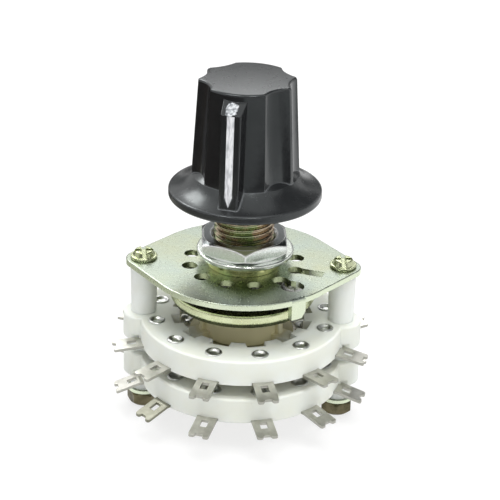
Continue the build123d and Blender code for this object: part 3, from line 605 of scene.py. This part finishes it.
LOOKS = {
    "knob": make_knob_look(),
    "paint": make_paint_look(),
    "nut": make_nickel_look("nut_nickel", NUT_NICKEL, with_painted_light=True),
    "washer": make_nickel_look("washer_nickel", WASHER_NICKEL),
    "plate": make_plate_look(),
    "disc": make_disc_look("disc_zinc", DISC_LIGHT, DISC_DARK, top_shade=0.96),
    # The spring's colours are painted shade
    "spring": make_disc_look("spring_zinc_shaded", SPRING_SHADED_LIGHT, SPRING_SHADED_DARK),
    "screw": make_disc_look("screw_zinc", SCREW_LIGHT, SCREW_DARK),
    "thread": make_thread_look(),
    "stator": make_moulding_look("stator_moulding", STATOR_LIGHT, STATOR_DARK, 0.7),
    "lower_stator": make_moulding_look("lower_moulding", STATOR_LIGHT, STATOR_DARK, 0.55, LOWER_OLIVE_END),
    "spacer": make_moulding_look("spacer_moulding", SPACER_LIGHT, SPACER_DARK),
    "rotor": make_moulding_look("rotor_moulding", ROTOR_LIGHT, ROTOR_DARK),
    "tin": make_metal_look("terminal_tin", TIN_LIGHT, TIN_DARK, 0.30, 0.44, side_shade=TIN_SIDE_SHADE),
    "dull_tin": make_metal_look("dull_tin", DULL_TIN_LIGHT, DULL_TIN_DARK, 0.34, 0.46, side_shade=DULL_TIN_SIDE_SHADE),
    "eyelet": make_metal_look("eyelet_tin", EYELET_LIGHT, EYELET_DARK, 0.30, 0.42, pit=0.02, size=0.25),
    "bronze": make_metal_look("bronzed_steel", BRONZE_LIGHT, BRONZE_DARK, 0.24, 0.5, pit=0.04, size=0.5),
    "blade": make_metal_look("silvered_blade", SILVER_LIGHT, SILVER_DARK, 0.22, 0.38),
    "steel": make_metal_look("bare_steel", STEEL_LIGHT, STEEL_DARK, 0.16, 0.32),
    "brass": make_metal_look("insert_brass", BRASS_LIGHT, BRASS_DARK, 0.20, 0.34),
}


def look_for(name):
    """The look of a CAD node, by its name; the terminals are tinned."""
    if name in NODE_LOOKS:
        return NODE_LOOKS[name]
    for ending, look in ENDING_LOOKS.items():
        if name.endswith(ending):
            return look
    return "tin"


def dress_nodes():
    """Give every CAD node its look."""
    for name, node in NODES.items():
        node.data.materials.clear()
        node.data.materials.append(LOOKS[look_for(name)])


def edge_width(name):
    """The width of a CAD node's small chamfers, or 0 for none."""
    if "_terminal_" in name or name.endswith("_common"):
        return TERMINAL_EDGE
    if name.endswith(("_tie_screw", "_tie_nut")):
        return FASTENER_EDGE
    return 0.0


def soften_edges():
    """Small real chamfers on the edges of the contacts, tie screws and tie nuts."""
    for name, node in NODES.items():
        width = edge_width(name)
        if width:
            edge = node.modifiers.new("soft_edge", "BEVEL")
            edge.width = width
            edge.segments = 2
            edge.limit_method = "ANGLE"
            edge.angle_limit = math.radians(SHARP_ANGLE)
            edge.use_clamp_overlap = True


def ring_points(radius, height, count):
    """Points of a level ring."""
    turn = 2 * math.pi / count
    return [Vector((radius * math.cos(turn * i), radius * math.sin(turn * i), height)) for i in range(count)]


def skin_rings(shape, rings):
    """Quads between one ring of vertices and the next."""
    for low, high in zip(rings, rings[1:]):
        for i in range(len(low)):
            j = (i + 1) % len(low)
            shape.faces.new((low[i], low[j], high[j], high[i]))


def lathe(shape, profile, count):
    """A surface of revolution from (radius, height) points."""
    rings = []
    for radius, height in profile:
        rings.append([shape.verts.new(point) for point in ring_points(radius, height, count)])
    skin_rings(shape, rings)


def finish_mesh(name, shape):
    """A mesh from a bmesh, with clean normals and edges kept sharp above an angle."""
    bmesh.ops.remove_doubles(shape, verts=shape.verts, dist=SAME_POINT)
    bmesh.ops.dissolve_degenerate(shape, edges=shape.edges, dist=SAME_POINT)
    bmesh.ops.recalc_face_normals(shape, faces=shape.faces)
    for face in shape.faces:
        face.smooth = True
    for edge in shape.edges:
        if edge.is_manifold and edge.calc_face_angle() > math.radians(SMOOTH_ANGLE):
            edge.smooth = False
    mesh = bpy.data.meshes.new(name)
    shape.to_mesh(mesh)
    shape.free()
    return mesh


def thread_surface(row, height):
    """Radius of the thread: flat crests and roots, straight flanks, a run-out below, a chamfer on top."""
    wave = abs((row / THREAD_ROWS) % 1.0 - 0.5) * 2
    share = min(max((wave - THREAD_FLAT) / (1.0 - 2 * THREAD_FLAT), 0.0), 1.0)
    root = THREAD_RADIUS - THREAD_DEPTH
    radius = root + THREAD_DEPTH * share
    radius = min(radius, root + THREAD_DEPTH * height / THREAD_RUN_OUT)
    return min(radius, THREAD_RADIUS - THREAD_CHAMFER + THREAD_TOP - height)


def add_thread(shape):
    """The helical thread, from the collar's face to the bushing's end."""
    rows = THREAD_ROWS * (math.ceil(THREAD_TOP / THREAD_PITCH) + 2)
    columns = []
    for i in range(THREAD_SEGMENTS):
        turn = i / THREAD_SEGMENTS
        column = []
        for row in range(rows + 1):
            height = (row / THREAD_ROWS + turn - 1.0) * THREAD_PITCH
            height = min(max(height, 0.0), THREAD_TOP)
            radius = thread_surface(row, height)
            angle = 2 * math.pi * turn
            column.append(shape.verts.new((radius * math.cos(angle), radius * math.sin(angle), height)))
        columns.append(column)
    for i in range(THREAD_SEGMENTS):
        last = i == THREAD_SEGMENTS - 1
        following = columns[0][THREAD_ROWS:] if last else columns[i + 1]
        for row in range(min(len(following), rows + 1) - 1):
            shape.faces.new((columns[i][row], following[row], following[row + 1], columns[i][row + 1]))


def add_dog(shape):
    """The stop dog under the rivet rim."""
    start = DOG_ANGLE - DOG_SPAN / 2
    sections = []
    for step in range(DOG_STEPS + 1):
        angle = math.radians(start + DOG_SPAN * step / DOG_STEPS)
        corners = (
            (DOG_INNER, DOG_BOTTOM),
            (DOG_OUTER, DOG_BOTTOM),
            (DOG_OUTER, RIM_BOTTOM),
            (DOG_INNER, RIM_BOTTOM),
        )
        sections.append([shape.verts.new((r * math.cos(angle), r * math.sin(angle), z)) for r, z in corners])
    skin_rings(shape, sections)
    shape.faces.new(sections[0])
    shape.faces.new(sections[-1])


def make_bushing():
    """Bushing with a real helical thread, in place of the plain CAD one."""
    shape = bmesh.new()
    add_thread(shape)
    lathe(shape, [
        (THREAD_RADIUS - THREAD_CHAMFER, THREAD_TOP),
        (BUSHING_BORE + BORE_CHAMFER, THREAD_TOP),
        (BUSHING_BORE, THREAD_TOP - BORE_CHAMFER),
        (BUSHING_BORE, RIM_BOTTOM),
        (RIM_RADIUS - SOFT_EDGE, RIM_BOTTOM),
        (RIM_RADIUS, RIM_BOTTOM + SOFT_EDGE),
        (RIM_RADIUS, PLATE_BOTTOM),
        (NECK_RADIUS, PLATE_BOTTOM),
        (NECK_RADIUS, COLLAR_BOTTOM),
        (COLLAR_RADIUS - SOFT_EDGE, COLLAR_BOTTOM),
        (COLLAR_RADIUS, COLLAR_BOTTOM + SOFT_EDGE),
        (COLLAR_RADIUS, -COLLAR_CHAMFER),
        (COLLAR_RADIUS - SOFT_EDGE, -SOFT_EDGE),
        (COLLAR_RADIUS - COLLAR_CHAMFER, 0),
        (THREAD_RADIUS - THREAD_DEPTH, 0),
    ], THREAD_SEGMENTS)
    add_dog(shape)
    name = "threaded_bushing"
    mesh_piece(name, finish_mesh(name, shape), "thread", "frame", ("bushing",))


def eyelet_profile(top, foot, spread):
    """(radius, height) outline of one set eyelet, from the middle of its foot to the middle of its cup."""
    rise = spread * EYELET_SPREAD
    crest = top + EYELET_CREST
    return [
        # Foot and stem
        (0, foot - EYELET_FOOT),
        (EYELET_FLANGE - 0.25 * MM, foot - EYELET_FOOT),
        (EYELET_FLANGE - 0.10 * MM, foot - EYELET_FOOT + 0.02 * MM),
        (EYELET_FLANGE, foot - 0.06 * MM),
        (EYELET_FLANGE - 0.05 * MM, foot),
        (EYELET_STEM, foot),
        (EYELET_STEM, top),
        # Rolled flange
        (EYELET_FLANGE - 0.03 * MM, top),
        (EYELET_FLANGE, top + 0.04 * MM),
        (EYELET_FLANGE - 0.05 * MM, top + 0.13 * MM),
        (EYELET_FLANGE - 0.18 * MM, crest - 0.03 * MM),
        (EYELET_FLANGE - 0.30 * MM, crest + rise),
        (EYELET_CUP + 0.32 * MM, crest - 0.03 * MM + rise),
        # Shallow cup
        (EYELET_CUP + 0.20 * MM, crest - 0.14 * MM),
        (EYELET_CUP + 0.08 * MM, crest - 0.34 * MM),
        (EYELET_CUP - 0.08 * MM, crest - 0.45 * MM),
        (EYELET_CUP - 0.30 * MM, crest - 0.50 * MM),
        (0, crest - 0.47 * MM),
    ]


def make_eyelets(deck):
    """The twelve eyelets of a deck, no two set quite alike."""
    low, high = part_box(f"{deck}_eyelets")
    top = high.z - EYELET_CREST
    foot = low.z + EYELET_FOOT
    shape = bmesh.new()
    for number in range(LUG_COUNT):
        angle = FIRST_LUG_ANGLE + LUG_PITCH * number
        profile = eyelet_profile(top, foot, EYELET_UNLIKE * math.sin(2.3 * number + len(deck)))
        first = len(shape.verts)
        lathe(shape, profile, EYELET_SEGMENTS)
        shape.verts.ensure_lookup_table()
        own = shape.verts[first:]
        tilt = Matrix.Rotation(math.radians(EYELET_TILT * math.sin(3.7 * number)), 4, "X")
        middle = Matrix.Translation((0, 0, top))
        place = Matrix.Rotation(math.radians(angle), 4, "Z") @ Matrix.Translation((EYELET_RING, 0, 0))
        bmesh.ops.transform(shape, matrix=place @ middle @ tilt @ middle.inverted(), verts=own)
    name = f"{deck}_rolled_eyelets"
    mesh_piece(name, finish_mesh(name, shape), "eyelet", "frame", (f"{deck}_eyelets",))


def mesh_piece(name, mesh, look, body, node_names):
    """A finished piece: linked, dressed, riding on its body, in place of CAD nodes."""
    piece = bpy.data.objects.new(name, mesh)
    bpy.context.scene.collection.objects.link(piece)
    piece.data.materials.append(LOOKS[look])
    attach(piece, body)
    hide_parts(*node_names)


def seen_share(tree):
    """1 for rays by which the camera, gloss or glass sees a surface, 0 for those that light the object."""
    rays = tree.nodes.new("ShaderNodeLightPath")
    seen = rays.outputs["Is Camera Ray"]
    for ray in ("Is Glossy Ray", "Is Transmission Ray"):
        either = tree.nodes.new("ShaderNodeMath")
        either.operation = "MAXIMUM"
        tree.links.new(seen, either.inputs[0])
        tree.links.new(rays.outputs[ray], either.inputs[1])
        seen = either.outputs[0]
    return seen


def make_floor():
    """Plain white floor, which the camera sees as white and the shadow still darkens."""
    place = (0, 0, CAD_BOX[0].z)
    bpy.ops.mesh.primitive_circle_add(vertices=96, radius=FLOOR_RADIUS, fill_type="NGON", location=place)
    floor = bpy.context.object
    floor.name = "floor"
    material = bpy.data.materials.new("floor_white")
    material.use_nodes = True
    tree = material.node_tree
    shader = tree.nodes["Principled BSDF"]
    shader.inputs["Roughness"].default_value = 0.9
    shader.inputs["Specular IOR Level"].default_value = 0.0
    rays = tree.nodes.new("ShaderNodeLightPath")
    tone = tree.nodes.new("ShaderNodeMapRange")
    tone.inputs["To Min"].default_value = FLOOR_SEEN_TONE
    tone.inputs["To Max"].default_value = FLOOR_TONE
    tree.links.new(rays.outputs["Is Diffuse Ray"], tone.inputs["Value"])
    tree.links.new(tone.outputs["Result"], shader.inputs["Base Color"])
    strength = tree.nodes.new("ShaderNodeMath")
    strength.operation = "MULTIPLY"
    strength.inputs[1].default_value = FLOOR_GLOW
    tree.links.new(seen_share(tree), strength.inputs[0])
    shader.inputs["Emission Color"].default_value = (1, 1, 1, 1)
    tree.links.new(strength.outputs[0], shader.inputs["Emission Strength"])
    floor.data.materials.append(material)


def make_world():
    """Soft white studio dome, seen as white."""
    world = bpy.data.worlds.new("studio")
    bpy.context.scene.world = world
    world.use_nodes = True
    tree = world.node_tree
    tree.nodes.clear()
    output = tree.nodes.new("ShaderNodeOutputWorld")
    dome = tree.nodes.new("ShaderNodeBackground")
    dome.inputs["Color"].default_value = (1, 1, 1, 1)
    level = tree.nodes.new("ShaderNodeMapRange")
    level.inputs["To Min"].default_value = DOME_LIGHT
    level.inputs["To Max"].default_value = 1.0
    tree.links.new(seen_share(tree), level.inputs["Value"])
    tree.links.new(level.outputs["Result"], dome.inputs["Strength"])
    tree.links.new(dome.outputs[0], output.inputs["Surface"])


def add_lamp(name, place, size, power, aim=(0, 0, 0), reflected=True, lighting=True):
    """A soft lamp, in metres and watts; it may be for reflections only, or left out of them."""
    data = bpy.data.lights.new(name, "AREA")
    data.shape = "RECTANGLE"
    data.size, data.size_y = size
    data.energy = power
    lamp = bpy.data.objects.new(name, data)
    bpy.context.scene.collection.objects.link(lamp)
    lamp.location = place
    lamp.rotation_mode = "QUATERNION"
    lamp.rotation_quaternion = (Vector(aim) - Vector(place)).to_track_quat("-Z", "Y")
    lamp.visible_glossy = reflected
    lamp.visible_diffuse = lighting


def make_lamps():
    """Lamps in front, above, behind and at the right light the object; boxes and strips only shine in it."""
    add_lamp("key_lamp_left", (-0.14, -0.32, 0.72), (0.24, 0.16), 0.8, reflected=False)
    add_lamp("key_lamp_right", (0.24, -0.34, 0.68), (0.30, 0.16), 1.7, reflected=False)
    add_lamp("top_lamp", (-0.04, -0.10, 0.86), (0.40, 0.40), 2.8, reflected=False)
    add_lamp("back_lamp", (-0.04, 0.50, 0.43), (0.33, 0.15), 0.95, aim=(0, 0, 0.03))
    add_lamp("right_fill", (0.46, -0.16, 0.24), (0.24, 0.24), 0.30, reflected=False)
    add_lamp("front_fill", (0.10, -0.52, 0.18), (0.30, 0.16), 0.10, reflected=False)
    add_lamp("left_box", (-0.355, 0.245, 0.43), (0.24, 0.18), 1.25, aim=(0, 0, 0.01), lighting=False)
    add_lamp("left_strip", (-0.26, -0.37, 0.52), (0.30, 0.08), 1.3, lighting=False)
    add_lamp("right_strip", (0.12, -0.44, 0.50), (0.14, 0.07), 0.8, lighting=False)


def add_card(name, place, aim, size, tone):
    """A dull studio card, in metres, which only reflections show."""
    bpy.ops.mesh.primitive_plane_add(size=1.0)
    card = bpy.context.object
    card.name = name
    card.location = place
    card.scale = (*size, 1)
    card.rotation_mode = "QUATERNION"
    card.rotation_quaternion = (Vector(aim) - Vector(place)).to_track_quat("Z", "Y")
    material = bpy.data.materials.new(name)
    material.use_nodes = True
    shader = material.node_tree.nodes["Principled BSDF"]
    shader.inputs["Base Color"].default_value = (*tone, 1)
    shader.inputs["Roughness"].default_value = 1.0
    shader.inputs["Specular IOR Level"].default_value = 0.0
    card.data.materials.append(material)
    card.visible_camera = False
    card.visible_diffuse = False
    card.visible_transmission = False
    card.visible_shadow = False


def lay_card(name, place, layer, size, tone):
    """A card that lies face up just above the floor, in a layer of its own where cards overlap."""
    height = CAD_BOX[0].z + CARD_LIFT + layer * CARD_STEP
    add_card(name, (*place, height), (*place, 1.0), size, tone)


def make_cards():
    """A desk of several tones round the white paper, a dim room in front, and walls behind."""
    lay_card("desk_front_left", (-0.33, -0.335), 0, (0.62, 0.50), (0.09, 0.085, 0.08))
    lay_card("desk_front_right", (0.31, -0.335), 0, (0.66, 0.50), (0.45, 0.46, 0.46))
    lay_card("desk_front_near", (0, -0.112), 1, (0.40, 0.054), (0.05, 0.05, 0.05))
    lay_card("desk_left", (-0.375, 0.0), 1, (0.55, 0.9), (0.05, 0.038, 0.028))
    lay_card("desk_right", (0.40, -0.185), 1, (0.54, 0.53), (0.45, 0.46, 0.46))
    lay_card("paper_left", (-0.075, 0.02), 2, (0.06, 0.30), (0.36, 0.36, 0.32))
    lay_card("desk_back_left", (-0.05, 0.21), 3, (0.16, 0.30), (0.08, 0.08, 0.08))
    add_card("room_front", (0, -1.0, 0.43), (0, 0, 0.43), (2.2, 0.55), (0.10, 0.105, 0.10))
    add_card("wall_right", (0.46, 0.39, 0.62), (0, 0, 0.02), (0.95, 0.66), (0.12, 0.13, 0.13))
    add_card("wall_back", (0, 0.95, 0.17), (0, 0, 0.17), (1.3, 0.34), (0.25, 0.26, 0.26))


def make_camera():
    """Camera at the photograph's angle."""
    data = bpy.data.cameras.new("camera")
    data.sensor_width = SENSOR
    data.lens = LENS
    data.clip_start = 0.01
    data.clip_end = 50
    camera = bpy.data.objects.new("camera", data)
    bpy.context.scene.collection.objects.link(camera)
    azimuth = math.radians(CAMERA_AZIMUTH)
    elevation = math.radians(CAMERA_ELEVATION)
    back = Vector((
        math.sin(azimuth) * math.cos(elevation),
        -math.cos(azimuth) * math.cos(elevation),
        math.sin(elevation),
    ))
    camera.location = CAMERA_TARGET + back * CAMERA_DISTANCE
    camera.rotation_mode = "QUATERNION"
    roll = Matrix.Rotation(math.radians(CAMERA_ROLL), 3, "Z").to_quaternion()
    camera.rotation_quaternion = (-back).to_track_quat("-Z", "Y") @ roll
    bpy.context.scene.camera = camera


dress_nodes()
soften_edges()
make_bushing()
for deck_name in ("upper", "lower"):
    make_eyelets(deck_name)
make_floor()
make_world()
make_lamps()
make_cards()
make_camera()
bpy.context.scene.view_settings.view_transform = "Standard"
